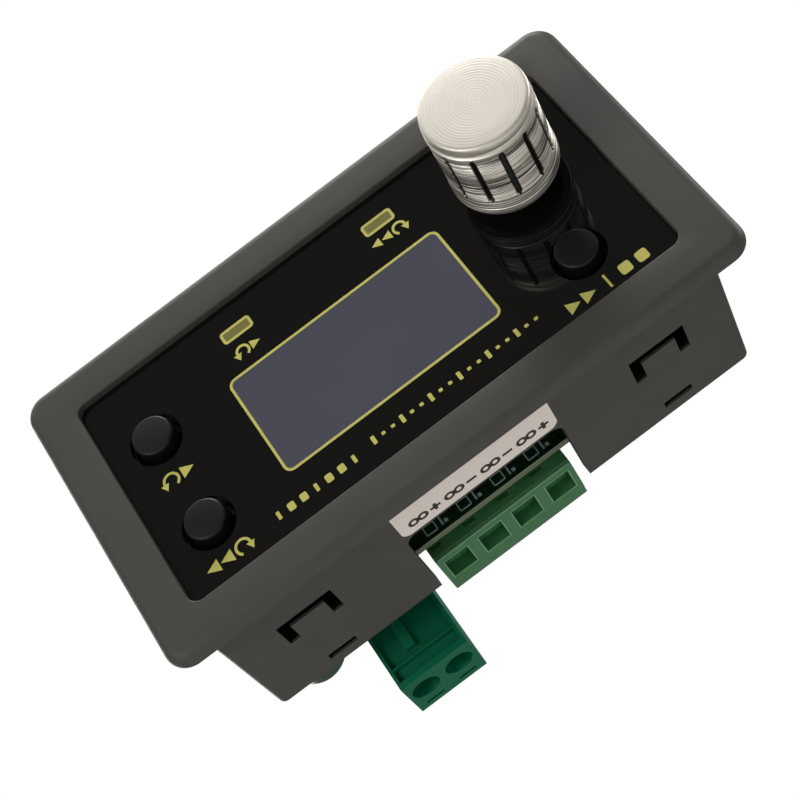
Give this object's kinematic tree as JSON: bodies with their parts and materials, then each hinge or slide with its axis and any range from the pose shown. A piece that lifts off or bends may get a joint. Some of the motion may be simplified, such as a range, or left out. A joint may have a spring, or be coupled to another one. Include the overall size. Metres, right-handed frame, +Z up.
{
  "type": "stepper driver module",
  "caption": "Panel-mounted stepper motor driver: bezel with dark display panel, push knob, buttons, open-backed snap-in tub, screw terminal block and plug-in supply connector.",
  "frame": {"origin": "centre of the panel cut-out, in the plane of the bezel's back face", "axes": "+X right seen from the front, +Y towards the rear (into the panel), +Z up"},
  "size_m": [0.079, 0.0556, 0.0451],
  "materials": {
    "grey_abs": "fine matte moulded plastic, slight sheen",
    "black_acrylic": "glossy dark panel with printed marks on its back",
    "white_sticker": null,
    "display_glass": "bluish grey display, off",
    "white_plastic": "white light guide",
    "green_solder_mask": "dark green circuit board",
    "black_abs": "satin black",
    "switch_cover": "bright sheet cover",
    "lamp_epoxy": "olive lamp body, off",
    "zinc_casting": "plated die casting",
    "steel_sheet": "plated sheet",
    "spun_aluminium": "spun top, fine turned side",
    "black_nylon": "matte",
    "green_nylon": "light green, satin",
    "dark_green_nylon": "saturated green, satin",
    "plated_steel": "zinc plated",
    "tinned_brass": "tinned",
    "capacitor_sleeve": "shrink sleeve",
    "chip_epoxy": "moulded epoxy",
    "black_anodised": "black anodised",
    "ferrite": "sintered, matte"
  },
  "bodies": {
    "case": {"housing": "grey_abs", "front_panel": "black_acrylic", "terminal_sticker": "white_sticker", "front_board": "green_solder_mask", "display_glass": "display_glass", "display_backlight": "white_plastic", "left_lamp": "lamp_epoxy", "right_lamp": "lamp_epoxy", "upper_left_switch": "switch_cover", "lower_left_switch": "switch_cover", "run_switch": "switch_cover", "encoder_clip": "steel_sheet", "encoder_collar": "zinc_casting", "encoder_base": "black_nylon", "rear_board": "green_solder_mask", "link_socket": "black_nylon", "link_pins": "black_nylon", "bulk_capacitor": "capacitor_sleeve", "driver_chip": "chip_epoxy", "heat_sink": "black_anodised", "power_inductor": "ferrite", "regulator_chip": "chip_epoxy", "left_sense_resistor": "chip_epoxy", "right_sense_resistor": "chip_epoxy", "controller_chip": "chip_epoxy", "output_terminal": "green_nylon", "supply_socket": "dark_green_nylon"},
    "encoder_push": {"push_plunger": "black_nylon"},
    "knob": {"encoder_shaft": "zinc_casting", "knob_insert": "black_nylon", "knob_shell": "spun_aluminium"},
    "upper_left_button": {"upper_left_button": "black_abs"},
    "lower_left_button": {"lower_left_button": "black_abs"},
    "run_button": {"run_button": "black_abs"},
    "supply_plug": {"supply_plug": "dark_green_nylon"},
    "output_screw_1": {"output_screw_1": "plated_steel"},
    "output_clamp_1": {"output_clamp_1": "tinned_brass"},
    "output_screw_2": {"output_screw_2": "plated_steel"},
    "output_clamp_2": {"output_clamp_2": "tinned_brass"},
    "output_screw_3": {"output_screw_3": "plated_steel"},
    "output_clamp_3": {"output_clamp_3": "tinned_brass"},
    "output_screw_4": {"output_screw_4": "plated_steel"},
    "output_clamp_4": {"output_clamp_4": "tinned_brass"},
    "supply_screw_1": {"supply_screw_1": "plated_steel"},
    "supply_clamp_1": {"supply_clamp_1": "tinned_brass"},
    "supply_screw_2": {"supply_screw_2": "plated_steel"},
    "supply_clamp_2": {"supply_clamp_2": "tinned_brass"}
  },
  "joints": [
    {"name": "knob_push", "type": "slide", "parent": "case", "child": "encoder_push", "axis": [0, 1, 0], "range_m": [0, 0.0005], "stiffness_N_per_m": 6000, "springref_m": -0.0002},
    {"name": "knob_turn", "type": "hinge", "parent": "encoder_push", "child": "knob", "pos_m": [0.0241, 0, 0.0053], "axis": [0, -1, 0], "continuous": true},
    {"name": "upper_left_press", "type": "slide", "parent": "case", "child": "upper_left_button", "axis": [0, 1, 0], "range_m": [0, 0.0003], "stiffness_N_per_m": 5000, "springref_m": -0.0001},
    {"name": "lower_left_press", "type": "slide", "parent": "case", "child": "lower_left_button", "axis": [0, 1, 0], "range_m": [0, 0.0003], "stiffness_N_per_m": 5000, "springref_m": -0.0001},
    {"name": "run_press", "type": "slide", "parent": "case", "child": "run_button", "axis": [0, 1, 0], "range_m": [0, 0.0003], "stiffness_N_per_m": 5000, "springref_m": -0.0001},
    {"name": "plug_pull", "type": "slide", "parent": "case", "child": "supply_plug", "axis": [0, 1, 0], "range_m": [0, 0.008]},
    {"name": "output_screw_1_turn", "type": "hinge", "parent": "case", "child": "output_screw_1", "pos_m": [-0.00772, 0.0285, -0.0121], "axis": [0, -1, 0], "range_deg": [0, 720]},
    {"name": "output_clamp_1_rise", "type": "slide", "parent": "case", "child": "output_clamp_1", "axis": [0, 1, 0], "range_m": [0, 0.001]},
    {"name": "output_screw_2_turn", "type": "hinge", "parent": "case", "child": "output_screw_2", "pos_m": [-0.00264, 0.0285, -0.0121], "axis": [0, -1, 0], "range_deg": [0, 720]},
    {"name": "output_clamp_2_rise", "type": "slide", "parent": "case", "child": "output_clamp_2", "axis": [0, 1, 0], "range_m": [0, 0.001]},
    {"name": "output_screw_3_turn", "type": "hinge", "parent": "case", "child": "output_screw_3", "pos_m": [0.00244, 0.0285, -0.0121], "axis": [0, -1, 0], "range_deg": [0, 720]},
    {"name": "output_clamp_3_rise", "type": "slide", "parent": "case", "child": "output_clamp_3", "axis": [0, 1, 0], "range_m": [0, 0.001]},
    {"name": "output_screw_4_turn", "type": "hinge", "parent": "case", "child": "output_screw_4", "pos_m": [0.00752, 0.0285, -0.0121], "axis": [0, -1, 0], "range_deg": [0, 720]},
    {"name": "output_clamp_4_rise", "type": "slide", "parent": "case", "child": "output_clamp_4", "axis": [0, 1, 0], "range_m": [0, 0.001]},
    {"name": "supply_screw_1_turn", "type": "hinge", "parent": "supply_plug", "child": "supply_screw_1", "pos_m": [-0.02064, 0.0343, -0.018], "axis": [0, 0, 1], "range_deg": [0, 720]},
    {"name": "supply_clamp_1_rise", "type": "slide", "parent": "supply_plug", "child": "supply_clamp_1", "axis": [0, 0, -1], "range_m": [0, 0.001]},
    {"name": "supply_screw_2_turn", "type": "hinge", "parent": "supply_plug", "child": "supply_screw_2", "pos_m": [-0.01556, 0.0343, -0.018], "axis": [0, 0, 1], "range_deg": [0, 720]},
    {"name": "supply_clamp_2_rise", "type": "slide", "parent": "supply_plug", "child": "supply_clamp_2", "axis": [0, 0, -1], "range_m": [0, 0.001]}
  ],
  "couplings": [
    {"joint": "output_screw_1_turn", "follows": "output_clamp_1_rise", "rad_per_m": 12566},
    {"joint": "output_screw_2_turn", "follows": "output_clamp_2_rise", "rad_per_m": 12566},
    {"joint": "output_screw_3_turn", "follows": "output_clamp_3_rise", "rad_per_m": 12566},
    {"joint": "output_screw_4_turn", "follows": "output_clamp_4_rise", "rad_per_m": 12566},
    {"joint": "supply_screw_1_turn", "follows": "supply_clamp_1_rise", "rad_per_m": 12566},
    {"joint": "supply_screw_2_turn", "follows": "supply_clamp_2_rise", "rad_per_m": 12566}
  ]
}
